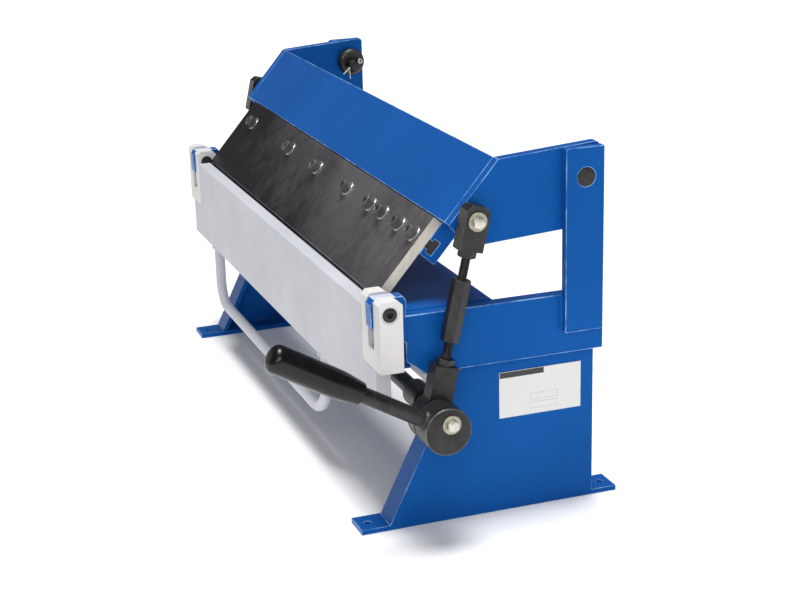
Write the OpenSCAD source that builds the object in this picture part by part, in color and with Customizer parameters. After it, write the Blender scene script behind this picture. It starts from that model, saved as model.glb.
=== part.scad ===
// Bench sheet metal brake with a segmented clamping beam, an apron and an eccentric clamp.
// Millimetres. +X is the operator's right, -Y the operator's side, +Z is up.
// The origin lies on the bench, at the centre of the four foot holes.

/* [Bending line] */
// Length of the whole row of clamping fingers
row_len = 609.6; // [590:0.1:610]
// Height of the apron's hinge axis above the bench
hinge_z = 224.2; // [224:0.1:224.6]
// Distance of the hinge axis in front of the origin
hinge_front = 109.9; // [109.6:0.1:110.2]

/* [Clamping beam] */
// Slope of the finger faces above the horizontal
face_angle = 49; // [48:0.5:50]
// Length of a finger, from its nose to its top edge
finger_len = 94; // [92:0.5:95]
// Thickness of the fingers and of the beam's front plate
finger_t = 10; // [9:0.5:10.5]
// Height of the beam's front plate, measured along its slope
plate_len = 74; // [70:1:76]
// Thickness of a beam arm
arm_t = 11; // [9:0.5:12]
// Radius of the rear pivot pins
pivot_r = 9; // [8:0.5:10]

/* [Frame] */
// Half the width over the folded foot panels
frame_half = 327; // [326.8:0.1:327.2]
// Thickness of the folded sheet
sheet_t = 5; // [4:0.5:5.5]
// Thickness of the side plates
side_t = 14; // [13:0.5:14.2]
// Thickness of the rear posts
post_t = 9; // [8:0.5:10]
// Height of the bed surface
bed_top = 215.8; // [214:0.1:216]

/* [Apron] */
// Thickness of the apron plate
apron_t = 14.6; // [13:0.1:14.6]
// Lower edge of the apron
apron_low = 128.8; // [120:0.1:135]
// Radius of the bow handle's tube
bow_r = 6; // [5:0.5:6.5]

/* [Clamp lever] */
// Angle of the lever above the horizontal, clamped
lever_angle = 30; // [28:0.5:31]
// Distance from the hub's centre to the end of the grip
lever_reach = 185; // [180:1:195]
// Radius of the cross shaft
shaft_r = 8; // [7.5:0.1:8.2]
// Radius of the outer cams
hub_r = 22.5; // [22:0.1:23]

/* [Hidden] */

$fn = 48;
eps = 1;                    // how far a cutter runs past the face it cuts
run_gap = 0.05;             // radial clearance of a running or threaded fit
weld_gap = 0.002;           // keeps the rounded-off faces of two welded pieces apart

// Positions in the side view are [y, z].
hinge = [-hinge_front, hinge_z];
nose_setback = 2.4;         // the finger noses lie this far behind the hinge axis
nose_drop = 0.6;            // and this far below it
nose = hinge + [nose_setback, -nose_drop];
pivot = [86.5, 328.2];      // rear pivot of the clamping beam
shaft = [-65.4, 124.5];     // cross shaft
cam_offset = [-2.9, -7];    // from the shaft to the cams' centre, clamped
cam = shaft + cam_offset;
link_pin = [-26.2, 301.6];  // upper pins of the links
link_lean = atan2(link_pin[0] - cam[0], link_pin[1] - cam[1]);
link_len = norm(link_pin - cam);

// Frame
side_in = frame_half;
side_out = side_in + side_t;
post_out = side_out + post_t;
side_low = 157.5;
side_rear = 109.4;
side_front = -89.4;         // front edge of the side plate below its ear
side_toe = [172, -70.4];    // that edge ends at this height; the lower edge starts at this y
ear_web = 190;              // the ear runs into the front edge at this height
panel_front = -106.9;       // where the slanted front edge meets the bench
panel_rear = 106.5;
panel_slope = 0.4987;       // how far the front edge runs back per millimetre of height
panel_top = 190;
flange_w = 29;
flange_top = 155;
foot_w = 31;
foot_half = 133;
foot_hole_r = 3.5;
foot_hole = [312, 122];
function panel_edge(z) = panel_front + panel_slope * z;
flange_y = 5.6;             // thickness of the slanted flange, measured level
post_y = [66.1, 104.8];
post_z = [180.2, 356.2];
post_round = [3, 1];        // at the front and at the rear
tie_bar_y = [-71.4, -62.4];
tie_bar_low = 149.5;
label_y = [8, 93];
label_z = [95.7, 142];
label_t = 1;

// Ear of the side plate, as corners measured from the hinge axis
ear = [[21.9, 6.2], [18.7, 11], [-8.5, 11], [-13, 5.6], [-12.6, -15.8], [-6.6, -20.9]];
ear_foot = 21;              // the ear's rear edge meets the bed this far behind the axis
bush_r = 9;
screw_r = 6.8;

// Bed
bed_t = 16;
bed_front = -104.4;
bed_rear = 1.6;
bed_notch_half = 308;
bed_notch_y = -90;
rib_y = [-96, -80];
rib_low = 160;
blade_half = 307;
blade_y = [-105.3, -81.6];
blade_top = 222.6;
blade_edge = 1;
blade_screw_y = -90;
blade_screw_pitch = 95;
blade_screw_r = 3;
blade_screw_low = 205.8;
blade_hole_low = 201.8;
blade_head = [6, 3.3];      // radius and depth of the countersunk head
blade_socket = [2.3, 2.4];  // radius and depth of its hexagon socket

// Clamping beam, with its own axes: y up the face, z out of the face
screw_y = finger_len - 23;
joint_gap = 1;              // groove between the fingers and the plate
plate_low = finger_len + joint_gap;
plate_high = plate_low + plate_len;
arm_out = 339.8;
arm_in = arm_out - arm_t;
arm_top_round = [100.5, 354.2, 4];      // centre and radius of the corner behind the pivot
arm_low_round = [100.5, 284.4, 4];
arm_toe = [-28.4, 272];
arm_skin = 2;               // metal left behind the blind hole of a link bolt
rail_half = 305;
rail_t = 19.5;
rail_low = finger_len - 35;
rail_high = finger_len + 20;
slot_neck = [8.6, 4];       // T-slot: width and depth of the neck, then of the wide part
slot_wide = [14.6, 7];
unit = row_len / 24;
finger_units = [6, 4, 4, 4, 3, 2, 1];
screw_offsets = [[-28], [0], [0], [0], [-18, 18], [0], [0]];
finger_gap = 0.2;
nose_round = 2;
sole = finger_t / tan(face_angle);      // the sole of a finger lies level
nose_centre = [nose_round / tan(face_angle / 2), -nose_round];
function before(i) = i == 0 ? 0 : finger_units[i - 1] + before(i - 1);
function finger_x(i) = -row_len / 2 + unit * before(i);
function finger_mid(i) = finger_x(i) + unit * finger_units[i] / 2;
screw_xs = [for (i = [0:6]) for (o = screw_offsets[i]) finger_mid(i) + o];
function face_point(y, z) =
    nose + [y * cos(face_angle) - z * sin(face_angle), y * sin(face_angle) + z * cos(face_angle)];

// Points of an arc from a0 to a1 degrees
function arc(c, r, a0, a1, n = 6) = [
    for (i = [0:n]) let (a = a0 + (a1 - a0) * i / n) c + r * [cos(a), sin(a)]];

// M8 fasteners
m8_r = 4;
m8_head_r = 6.5;
m8_head_h = 8;
m8_washer_r = 8;
washer_t = 1.6;
m8_shank = [-20, 2];
m8_socket = [6 / sqrt(3), 4.5];         // radius and depth of the hexagon socket
hole_slack = 0.3;
tap_gap = 0.02;             // radial clearance drawn between a thread and its hole
// M6 screws with wide washers, in the shaft's ends and the links' upper pins
m6_r = 3;
hex_head_r = 10 / sqrt(3);
hex_head_h = 4;

// T-nuts
nut_half = 12;
nut_slack = 0.2;
nut_recess = 0.4;

// Rear pivot pins
pin_end = 306.5;
pin_step = 322;             // from here inwards the pin is turned down
pin_tail_r = 6.3;
collar = pivot + [1.2, 2.4];            // the adjusting collars lie off the pins' axis
collar_r = 16.4;
collar_t = 9.5;
collar_rim = 2.2;           // chamfer of its inner edge
collar_gap = 0.5;
split_x = 309.8;
split_r = 1.4;
split_angle = 28.6;
split_eye = [2.2, 0.9];     // radius of the eye and of its wire
split_legs = [[12, 10], [66, 13.4]];    // each leg's bend from the pin's axis, and its length
split_leg_r = 0.8;
split_bend = pin_tail_r + 1.2;          // the legs part this far from the pivot's axis
split_shank = [-split_bend - 0.5, pin_tail_r + 1.3];

// Apron
apron_top = hinge_z - 1.6;
apron_half = 344.3;
apron_front = hinge[0] - 10.6;
block_in = 310;
block_out = 359;
block_low = 169.1;
block_top = 237.1;
block_rear = hinge[0] + 11.8;
block_slot = [frame_half - 1, frame_half + side_t + 1.2];
block_slot_low = 187.5;
block_chamfer = [[4, 5.3], [4, 3.3]]; // height and depth of the rear, then of the front one
bore_mouth = [8.9, 1.6];    // radius and depth of the chamfer round the outer end of the bore
screw_recess = 0.6;
screw_socket = [5 / sqrt(3), 5];
bow_left = -256;
bow_right = 172;
bow_low = 59;
bow_bend = [27, 46];        // radius of the left and of the right bend
bow_y = -113.4;

// Cross shaft and its ends
link_in = 344;
link_out = 361;
journal_r = 6;
shaft_step = 343;
bearing_r = 13;
saddle_half = 9;
saddle_start = 8.2;         // from the shaft axis, clear of the bore
cam_r = 15.5;
cam_back = 0.2;
ring_gap = 0.6;             // the linkage is open here, so the ring keeps this clearance
ring_out = 22.5;
hub_in = 362;
hub_out_right = 390;
hub_out_left = 376;
lever_x = 378.5;
lever_r = 7.5;
lever_socket = 12;
grip_start = 90.5;
grip_bore_end = 170;
end_bolt_len = 24;
hub_washer_r = 9;
end_gap = 0.6;              // the shaft ends this far inside the hubs' faces
seat_gap = 0.3;             // between a link and its washer
grip_mouth = [9.6, 10.6, 1.5];          // radius at the mouth, then behind its chamfer
grip_body = [13.5, 121];    // radius of the body, and where the taper from the mouth ends
grip_dome = [5.5, 8];       // flat and radius of the domed end

// Links, with their own axes: z up the link from the upper pin
block_half = 11.6;
clevis_high = 13.6;
clevis_low = -28.4;
clevis_chamfer = 5;
rod_r = 4.5;
upper_rod = [-75, -12.2];
lower_rod = [-149.8, -96];
sleeve_z = [-114.2, -55.3];
sleeve_r = 15.5 / sqrt(3);
jam_h = 6.6;
jam_r = 15 / sqrt(3);
foot_block = [-172, -137.2];
foot_block_half = 11.2;
link_bolt_r = 5;
link_mid = (link_in + link_out) / 2;
spacer_r = 9;
rod_end_gap = 0.2;

blue = [0.08, 0.31, 0.6];
black = [0.1, 0.1, 0.1];
pale = [0.86, 0.86, 0.84];
steel = [0.5, 0.5, 0.52];
bright = [0.75, 0.75, 0.76];

// Extrudes a side-view outline of [y, z] points from x0 to x1
module slab(x0, x1, outline) {
    translate([x0, 0, 0]) rotate([90, 0, 90]) linear_extrude(x1 - x0) polygon(outline);
}

// Cylinder along X from x0 to x1, round the side-view point c
module rod_x(x0, x1, c, r, fn = 64) {
    translate([x0, c[0], c[1]]) rotate([0, 90, 0]) cylinder(h = x1 - x0, r = r, $fn = fn);
}

module block(lo, hi) {
    translate(lo) cube(hi - lo);
}

module left() {
    mirror([1, 0, 0]) children();
}

module both_sides() {
    children();
    left() children();
}

// Puts its children on the finger face: y up the slope, z out of the face
module on_face() {
    translate([0, nose[0], nose[1]]) rotate([face_angle, 0, 0]) children();
}

// Puts its children on the right link: z up the link, from its upper pin
module on_link() {
    translate([0, link_pin[0], link_pin[1]]) rotate([-link_lean, 0, 0]) children();
}

// ---- Frame ----

module foot_panel() color(blue) difference() {
    union() {
        slab(frame_half - sheet_t, frame_half, [
            [panel_front, 0], [panel_edge(flange_top), flange_top], [panel_edge(side_low), side_low],
            [panel_edge(side_low), panel_top], [panel_rear, panel_top], [panel_rear, 0]]);
        slab(frame_half - flange_w, frame_half - sheet_t + eps, [
            [panel_front, 0], [panel_edge(flange_top), flange_top],
            [panel_edge(flange_top) + flange_y, flange_top], [panel_front + flange_y, 0]]);
        block([frame_half - foot_w, -foot_half, 0], [frame_half, foot_half, sheet_t]);
    }
    for (y = [-foot_hole[1], foot_hole[1]]) {
        translate([foot_hole[0], y, -eps]) cylinder(h = sheet_t + 2 * eps, r = foot_hole_r);
    }
}

module side_plate() color(blue) difference() {
    slab(side_in, side_out, concat(
        [[side_rear, side_low], [side_rear, bed_top], [hinge[0] + ear_foot, bed_top]],
        [for (corner = ear) hinge + corner],
        [[side_front, ear_web], [side_front, side_toe[0]], [side_toe[1], side_low]]));
    rod_x(side_in - eps, side_out + eps, hinge, bush_r);
}

module post() color(blue) difference() {
    slab(side_out, post_out, concat(
        [[post_y[0], post_z[0]], [post_y[1], post_z[0]]],
        arc([post_y[1] - post_round[1], post_z[1] - post_round[1]], post_round[1], 0, 90, 3),
        arc([post_y[0] + post_round[0], post_z[1] - post_round[0]], post_round[0], 90, 180, 3)));
    rod_x(side_out - eps, post_out + eps, pivot, pivot_r);
}

module bed_plate() color(blue) difference() {
    translate([0, 0, bed_top - bed_t]) linear_extrude(bed_t) polygon([
        [-bed_notch_half, bed_front], [bed_notch_half, bed_front],
        [bed_notch_half, bed_notch_y], [side_in, bed_notch_y],
        [side_in, bed_rear], [-side_in, bed_rear],
        [-side_in, bed_notch_y], [-bed_notch_half, bed_notch_y]]);
    for (i = [-3:3]) {
        translate([i * blade_screw_pitch, blade_screw_y, blade_hole_low])
            cylinder(h = bed_t, r = blade_screw_r + run_gap);
    }
}

module bed_rib() color(blue) block([-side_in, rib_y[0], rib_low], [side_in, rib_y[1], bed_top - bed_t]);

module blade_screw_shape(grow) {
    translate([0, 0, blade_screw_low])
        cylinder(h = blade_top - eps - blade_screw_low, r = blade_screw_r + grow);
    translate([0, 0, blade_top - blade_head[1]])
        cylinder(h = blade_head[1], r1 = blade_screw_r + grow, r2 = blade_head[0] + grow);
}

module bed_blade() color(steel) difference() {
    slab(-blade_half, blade_half, [
        [blade_y[0], bed_top], [blade_y[1], bed_top], [blade_y[1], blade_top - blade_edge],
        [blade_y[1] - blade_edge, blade_top], [blade_y[0] + blade_edge, blade_top],
        [blade_y[0], blade_top - blade_edge]]);
    for (i = [-3:3]) {
        translate([i * blade_screw_pitch, blade_screw_y, 0]) blade_screw_shape(run_gap);
    }
}

module bed_blade_screws() color(black) for (i = [-3:3]) {
    translate([i * blade_screw_pitch, blade_screw_y, 0]) difference() {
        blade_screw_shape(0);
        translate([0, 0, blade_top - blade_socket[1]])
            cylinder(h = blade_socket[1] + eps, r = blade_socket[0], $fn = 6);
    }
}

module front_tie_bar() color(pale)
    block([-side_out, tie_bar_y[0], tie_bar_low], [side_out, tie_bar_y[1], side_low]);

// Bearing boss on a saddle that reaches back to the panel's front flange
module shaft_bearing() color(black) difference() {
    slant = -atan(panel_slope);
    reach = (panel_edge(shaft[1]) - shaft[0]) * cos(slant) - saddle_start - weld_gap;
    union() {
        rod_x(frame_half - flange_w, frame_half, shaft, bearing_r);
        translate([frame_half - flange_w + eps, shaft[0], shaft[1]]) rotate([slant, 0, 0])
            translate([0, saddle_start, -saddle_half]) cube([flange_w - 2 * eps, reach, 2 * saddle_half]);
    }
    rod_x(frame_half - flange_w - eps, frame_half + eps, shaft, shaft_r + run_gap);
}

module hinge_bushes() color("darkgoldenrod") both_sides() difference() {
    rod_x(side_in, side_out, hinge, bush_r);
    rod_x(side_in - eps, side_out + eps, hinge, screw_r + run_gap);
}

module pivot_pins() color(black) both_sides() difference() {
    union() {
        rod_x(pin_step, post_out, pivot, pivot_r);
        rod_x(pin_end, pin_step + eps, pivot, pin_tail_r);
    }
    translate([split_x, pivot[0], pivot[1]]) rotate([split_angle - 90, 0, 0])
        translate([0, 0, -pivot_r - eps]) cylinder(h = 2 * (pivot_r + eps), r = split_r + run_gap);
}

module pivot_collars() color(black) both_sides() difference() {
    translate([arm_in - collar_gap - collar_t, collar[0], collar[1]]) rotate([0, 90, 0])
        rotate_extrude($fn = 64) polygon([
            [0, 0], [collar_r - collar_rim, 0], [collar_r, collar_rim], [collar_r, collar_t], [0, collar_t]]);
    rod_x(arm_in - collar_gap - collar_t - eps, arm_in, pivot, pivot_r + run_gap);
}

// A split pin: round eye, shank through the pivot pin, and two legs bent apart
module split_pins() color(steel) both_sides() {
    translate([split_x, pivot[0], pivot[1]]) rotate([split_angle - 90, 0, 0]) {
        translate([0, 0, split_shank[0]])
            cylinder(h = split_shank[1] - split_shank[0], r = split_r - run_gap);
        translate([0, 0, pin_tail_r + split_eye[0] + eps]) rotate([0, 90, 0])
            rotate_extrude() translate([split_eye[0], 0]) circle(r = split_eye[1]);
        for (leg = split_legs) {
            translate([0, 0, -split_bend]) rotate([180 + leg[0], 0, 0])
                cylinder(h = leg[1], r = split_leg_r);
        }
    }
}

module rating_plate() color("white")
    block([frame_half, label_y[0], label_z[0]], [frame_half + label_t, label_y[1], label_z[1]]);

// ---- Clamping beam ----

module beam_front_plate() color(blue) on_face() {
    slab(-arm_in + weld_gap, arm_in - weld_gap,
        [[plate_low, -finger_t], [plate_high, -finger_t], [plate_high, 0], [plate_low, 0]]);
}

module arm() color(blue) difference() {
    slab(arm_in, arm_out, concat(
        [face_point(plate_low, 0), face_point(plate_high, 0)],
        arc([arm_top_round[0], arm_top_round[1]], arm_top_round[2], 90, 0),
        arc([arm_low_round[0], arm_low_round[1]], arm_low_round[2], 0, -90, 3), [arm_toe]));
    rod_x(arm_in - eps, arm_out + eps, pivot, pivot_r + run_gap);
    rod_x(arm_in + arm_skin, arm_out + eps, link_pin, link_bolt_r + tap_gap);
}

module finger_rail() color(blue) on_face() difference() {
    slab(-rail_half, rail_half, [
        [rail_low, -finger_t], [rail_low, -finger_t - rail_t],
        [rail_high, -finger_t - rail_t], [rail_high, -finger_t]]);
    slab(-rail_half - eps, rail_half + eps, [
        [screw_y - slot_neck[0] / 2, -finger_t + eps], [screw_y + slot_neck[0] / 2, -finger_t + eps],
        [screw_y + slot_neck[0] / 2, -finger_t - slot_neck[1] - eps],
        [screw_y - slot_neck[0] / 2, -finger_t - slot_neck[1] - eps]]);
    slab(-rail_half - eps, rail_half + eps, [
        [screw_y - slot_wide[0] / 2, -finger_t - slot_neck[1]],
        [screw_y + slot_wide[0] / 2, -finger_t - slot_neck[1]],
        [screw_y + slot_wide[0] / 2, -finger_t - slot_neck[1] - slot_wide[1]],
        [screw_y - slot_wide[0] / 2, -finger_t - slot_neck[1] - slot_wide[1]]]);
}

// A finger: its sole is cut at the face angle and its nose is rounded
module finger(i) color(steel) on_face() difference() {
    slab(finger_x(i) + finger_gap / 2, finger_x(i + 1) - finger_gap / 2, concat(
        [[finger_len, 0], [finger_len, -finger_t], [sole, -finger_t]],
        arc(nose_centre, nose_round, 270 - face_angle, 90)));
    for (o = screw_offsets[i]) {
        translate([finger_mid(i) + o, screw_y, -finger_t - eps])
            cylinder(h = finger_t + 2 * eps, r = m8_r + hole_slack);
    }
}

module finger_screws() color(black) on_face() for (x = screw_xs) {
    translate([x, screw_y, 0]) difference() {
        union() {
            translate([0, 0, m8_shank[0]]) cylinder(h = m8_shank[1] - m8_shank[0], r = m8_r);
            translate([0, 0, washer_t]) cylinder(h = m8_head_h, r = m8_head_r);
        }
        translate([0, 0, washer_t + m8_head_h - m8_socket[1]])
            cylinder(h = m8_socket[1] + eps, r = m8_socket[0], $fn = 6);
    }
}

module finger_washers() color(bright) on_face() for (x = screw_xs) {
    translate([x, screw_y, 0]) difference() {
        cylinder(h = washer_t, r = m8_washer_r);
        translate([0, 0, -eps]) cylinder(h = washer_t + 2 * eps, r = m8_r + hole_slack);
    }
}

module t_nuts() color(black) on_face() for (x = screw_xs) difference() {
    neck = slot_neck[0] / 2 - nut_slack;
    wide = slot_wide[0] / 2 - nut_slack;
    z0 = -finger_t - nut_recess;
    z1 = -finger_t - slot_neck[1] - nut_slack;
    z2 = -finger_t - slot_neck[1] - slot_wide[1] + nut_slack;
    slab(x - nut_half, x + nut_half, [
        [screw_y - neck, z0], [screw_y + neck, z0], [screw_y + neck, z1], [screw_y + wide, z1],
        [screw_y + wide, z2], [screw_y - wide, z2], [screw_y - wide, z1], [screw_y - neck, z1]]);
    translate([x, screw_y, z2 - eps]) cylinder(h = 2 * slot_wide[1] + finger_t, r = m8_r + run_gap);
}

// Pins that the links' upper ends turn on, screwed into the arms, with a screw in each end
module link_bolts() color(bright) both_sides() {
    head_x = link_out + seat_gap + washer_t;
    rod_x(arm_in + arm_skin + run_gap, link_out + seat_gap - weld_gap, link_pin, link_bolt_r);
    rod_x(link_out, head_x + eps, link_pin, m6_r);
    rod_x(head_x, head_x + hex_head_h, link_pin, hex_head_r, 6);
}

module link_bolt_washers() color(bright) both_sides() difference() {
    rod_x(link_out + seat_gap, link_out + seat_gap + washer_t, link_pin, hub_washer_r);
    rod_x(link_out, link_out + washer_t + eps, link_pin, m6_r + run_gap);
}

module link_spacers() color(black) both_sides() difference() {
    rod_x(arm_out, link_in - seat_gap, link_pin, spacer_r);
    rod_x(arm_out - eps, link_in, link_pin, link_bolt_r + run_gap);
}

// ---- Apron ----

module apron_plate() color(pale) difference() {
    block([-apron_half, apron_front, apron_low], [apron_half, apron_front + apron_t, apron_top]);
    both_sides()
        block([block_in, apron_front - eps, block_low], [block_out, hinge[0] + apron_t, block_top]);
}

module hinge_block() color(pale) difference() {
    slab(block_in, block_out, [
        [apron_front, block_low], [block_rear, block_low], [block_rear, block_top - block_chamfer[0][0]],
        [block_rear - block_chamfer[0][1], block_top], [apron_front + block_chamfer[1][1], block_top],
        [apron_front, block_top - block_chamfer[1][0]]]);
    block([block_slot[0], apron_front - eps, block_slot_low],
        [block_slot[1], block_rear + eps, block_top + eps]);
    rod_x(block_in - eps, block_out + eps, hinge, screw_r + run_gap);
    translate([block_out - bore_mouth[1], hinge[0], hinge[1]]) rotate([0, 90, 0])
        cylinder(h = bore_mouth[1] + eps, r1 = bore_mouth[0] - bore_mouth[1], r2 = bore_mouth[0] + eps);
}

module hinge_screws() color(black) both_sides() difference() {
    rod_x(block_in + screw_recess, block_out - screw_recess, hinge, screw_r);
    rod_x(block_out - screw_socket[1], block_out + eps, hinge, screw_socket[0], 6);
}

module bow_handle() color(pale) {
    for (s = [[bow_left, 1, bow_bend[0]], [bow_right, -1, bow_bend[1]]]) {
        leg_low = bow_low + s[2];
        translate([s[0], bow_y, leg_low]) cylinder(h = apron_low - leg_low, r = bow_r);
        translate([s[0] + s[1] * s[2], bow_y, leg_low])
            rotate([90, 0, 0]) rotate([0, 0, s[1] > 0 ? 180 : 270])
                rotate_extrude(angle = 90) translate([s[2], 0]) circle(r = bow_r);
    }
    rod_x(bow_left + bow_bend[0], bow_right - bow_bend[1], [bow_y, bow_low], bow_r, 48);
}

// ---- Cross shaft, cams and lever ----

module cross_shaft() color(black) difference() {
    union() {
        rod_x(-shaft_step, shaft_step, shaft, shaft_r);
        rod_x(-hub_out_left + end_gap, hub_out_right - end_gap, shaft, journal_r);
    }
    rod_x(hub_out_right - end_bolt_len, hub_out_right, shaft, m6_r);
    rod_x(-hub_out_left, -hub_out_left + end_bolt_len, shaft, m6_r);
}

module eccentric() color(steel) difference() {
    rod_x(link_in + cam_back, hub_in, cam, cam_r);
    rod_x(link_in - eps, hub_in + eps, shaft, journal_r + tap_gap);
}

module hub(x_out) color(black) difference() {
    rod_x(hub_in, x_out, cam, hub_r);
    rod_x(hub_in - eps, x_out + eps, shaft, journal_r + tap_gap);
    children();
}

// Puts its children on the lever: z from the hub's centre towards the grip
module on_lever() {
    translate([lever_x, cam[0], cam[1]]) rotate([90 - lever_angle, 0, 0]) children();
}

module right_hub() hub(hub_out_right)
    on_lever() translate([0, 0, lever_socket]) cylinder(h = 2 * hub_r, r = lever_r);

module lever_bar() color(black) on_lever()
    translate([0, 0, lever_socket]) cylinder(h = grip_bore_end - lever_socket, r = lever_r);

// Grip, tapered towards its mouth, with a domed end and a blind bore for the bar
module lever_grip() color(black) on_lever() difference() {
    rotate_extrude($fn = 64) polygon(concat(
        [[0, grip_start], [grip_mouth[0], grip_start], [grip_mouth[1], grip_start + grip_mouth[2]],
            grip_body],
        arc([grip_dome[0], lever_reach - grip_dome[1]], grip_dome[1], 0, 90), [[0, lever_reach]]));
    translate([0, 0, grip_start - eps]) cylinder(h = grip_bore_end - grip_start + eps, r = lever_r);
}

module end_bolt(x_face) {
    rod_x(x_face - end_bolt_len + 2 * eps, x_face + washer_t + eps, shaft, m6_r - tap_gap);
    rod_x(x_face + washer_t, x_face + washer_t + hex_head_h, shaft, hex_head_r, 6);
}

module hub_bolts() color(bright) {
    end_bolt(hub_out_right);
    left() end_bolt(hub_out_left);
}

module end_washer(x_face) difference() {
    rod_x(x_face, x_face + washer_t, shaft, hub_washer_r);
    rod_x(x_face - eps, x_face + 2 * washer_t, shaft, m6_r + run_gap);
}

module hub_washers() color(bright) {
    end_washer(hub_out_right);
    left() end_washer(hub_out_left);
}

// ---- Links ----

module clevis() color(black) difference() {
    on_link() slab(link_in, link_out, [
        [-block_half, clevis_low], [block_half, clevis_low],
        [block_half, clevis_high - clevis_chamfer], [block_half - clevis_chamfer, clevis_high],
        [clevis_chamfer - block_half, clevis_high], [-block_half, clevis_high - clevis_chamfer]]);
    rod_x(link_in - eps, link_out + eps, link_pin, link_bolt_r + run_gap);
    on_link() translate([link_mid, 0, clevis_low - eps])
        cylinder(h = upper_rod[1] + rod_end_gap - clevis_low + eps, r = rod_r + tap_gap);
}

module link_rods() color(steel) on_link() for (span = [upper_rod, lower_rod]) {
    translate([link_mid, 0, span[0]]) cylinder(h = span[1] - span[0], r = rod_r);
}

module jam_nuts() color(black) on_link() for (z = [clevis_low - jam_h, foot_block[1]]) difference() {
    translate([link_mid, 0, z]) cylinder(h = jam_h, r = jam_r, $fn = 6);
    translate([link_mid, 0, z - eps]) cylinder(h = jam_h + 2 * eps, r = rod_r + tap_gap);
}

module big_end() color(black) difference() {
    union() {
        on_link()
            block([link_in, -foot_block_half, foot_block[0]], [link_out, foot_block_half, foot_block[1]]);
        rod_x(link_in, link_out, cam, ring_out);
    }
    rod_x(link_in - eps, link_out + eps, cam, cam_r + ring_gap);
    on_link() translate([link_mid, 0, lower_rod[0] - rod_end_gap])
        cylinder(h = foot_block[1] - lower_rod[0] + eps, r = rod_r + tap_gap);
}

module turnbuckle() color(black) on_link() difference() {
    translate([link_mid, 0, sleeve_z[0]]) cylinder(h = sleeve_z[1] - sleeve_z[0], r = sleeve_r, $fn = 6);
    translate([link_mid, 0, sleeve_z[0] - eps])
        cylinder(h = sleeve_z[1] - sleeve_z[0] + 2 * eps, r = rod_r + run_gap);
}

left() foot_panel();  // left_foot_panel
foot_panel();  // right_foot_panel
left() side_plate();  // left_side_plate
side_plate();  // right_side_plate
left() post();  // left_post
post();  // right_post
bed_plate();
bed_rib();
bed_blade();
bed_blade_screws();
front_tie_bar();
left() shaft_bearing();  // left_shaft_bearing
shaft_bearing();  // right_shaft_bearing
hinge_bushes();
pivot_pins();
pivot_collars();
split_pins();
rating_plate();
beam_front_plate();
left() arm();  // left_arm
arm();  // right_arm
finger_rail();
finger(0);  // finger_1
finger(1);  // finger_2
finger(2);  // finger_3
finger(3);  // finger_4
finger(4);  // finger_5
finger(5);  // finger_6
finger(6);  // finger_7
finger_screws();
finger_washers();
t_nuts();
link_bolts();
link_bolt_washers();
link_spacers();
apron_plate();
left() hinge_block();  // left_hinge_block
hinge_block();  // right_hinge_block
hinge_screws();
bow_handle();
cross_shaft();
left() eccentric();  // left_eccentric
eccentric();  // right_eccentric
left() hub(hub_out_left);  // left_hub
right_hub();
lever_bar();
lever_grip();
hub_bolts();
hub_washers();
left() clevis();  // left_clevis
left() link_rods();  // left_link_rods
left() jam_nuts();  // left_jam_nuts
left() big_end();  // left_big_end
left() turnbuckle();  // left_turnbuckle
clevis();  // right_clevis
link_rods();  // right_link_rods
jam_nuts();  // right_jam_nuts
big_end();  // right_big_end
turnbuckle();  // right_turnbuckle
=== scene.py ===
import math
import random

import bmesh
import bpy
from mathutils import Matrix, Vector


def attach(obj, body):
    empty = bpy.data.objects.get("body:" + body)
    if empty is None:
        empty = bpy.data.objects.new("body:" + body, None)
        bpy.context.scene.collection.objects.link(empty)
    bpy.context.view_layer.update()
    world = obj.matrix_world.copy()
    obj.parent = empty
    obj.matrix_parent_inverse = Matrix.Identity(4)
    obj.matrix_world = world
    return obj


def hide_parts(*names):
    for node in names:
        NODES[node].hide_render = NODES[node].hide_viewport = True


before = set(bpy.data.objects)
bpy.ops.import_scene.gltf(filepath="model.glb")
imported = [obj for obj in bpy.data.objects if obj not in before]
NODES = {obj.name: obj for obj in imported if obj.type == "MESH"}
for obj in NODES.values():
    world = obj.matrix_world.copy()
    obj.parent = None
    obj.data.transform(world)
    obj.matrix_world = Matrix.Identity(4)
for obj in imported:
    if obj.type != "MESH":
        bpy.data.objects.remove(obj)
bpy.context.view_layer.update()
MM = 0.001
random.seed(7)

# Places and sizes repeated from part.scad, in millimetres. X runs to the operator's right, Y to the
# back and Z up; a pair is a place in the side view, (y, z), unless a comment says otherwise.
PIVOT = (86.5, 328.2)           # rear pivots of the clamping beam
HINGE = (-109.9, 224.2)         # hinge screws of the apron
NOSE = (-107.5, 223.6)          # noses of the fingers
SHAFT = (-65.4, 124.5)          # cross shaft
CAM = (-68.3, 117.5)            # centre of the eccentrics
LINK_PIN = (-26.2, 301.6)       # upper pins of the links
LINK_UP = Vector((0, 0.222925, 0.974835))
FACE_ANGLE = math.radians(49)
LEVER_ANGLE = math.radians(30)

# Frame
FRAME_HALF = 327                # outer faces of the bed and the foot panels
SIDE_OUT = 341                  # outer faces of the side plates
POST_OUT = 350                  # outer faces of the posts
BED_TOP = 215.8
SIDE_LOW = 157.5
PANEL_TOP = 190
POST_Y = (66.1, 104.8)          # front and rear edges
POST_LOW = 180.2
PIN_R, PIN_TAIL_R = 9, 6.3
PIN_STEP, PIN_END = 322, 306.5  # where the pivot pins turn thinner, and their inner ends
LABEL_BAR = (8.4, 54, 135.9, 141.6)     # y from, to, z from, to
LABEL_FIELDS = ((39.5, 68.5, 110.3, 116.7), (39.5, 68.5, 101.4, 107.8))

# Clamping beam
ARM_OUT, ARM_IN = 339.8, 328.8
ROW_LEN = 609.6
FINGER_UNITS = (6, 4, 4, 4, 3, 2, 1)
SCREW_OFFSETS = ((-28,), (0,), (0,), (0,), (-18, 18), (0,), (0,))
SCREW_UP = 71                   # the finger screws' place up the slope

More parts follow.
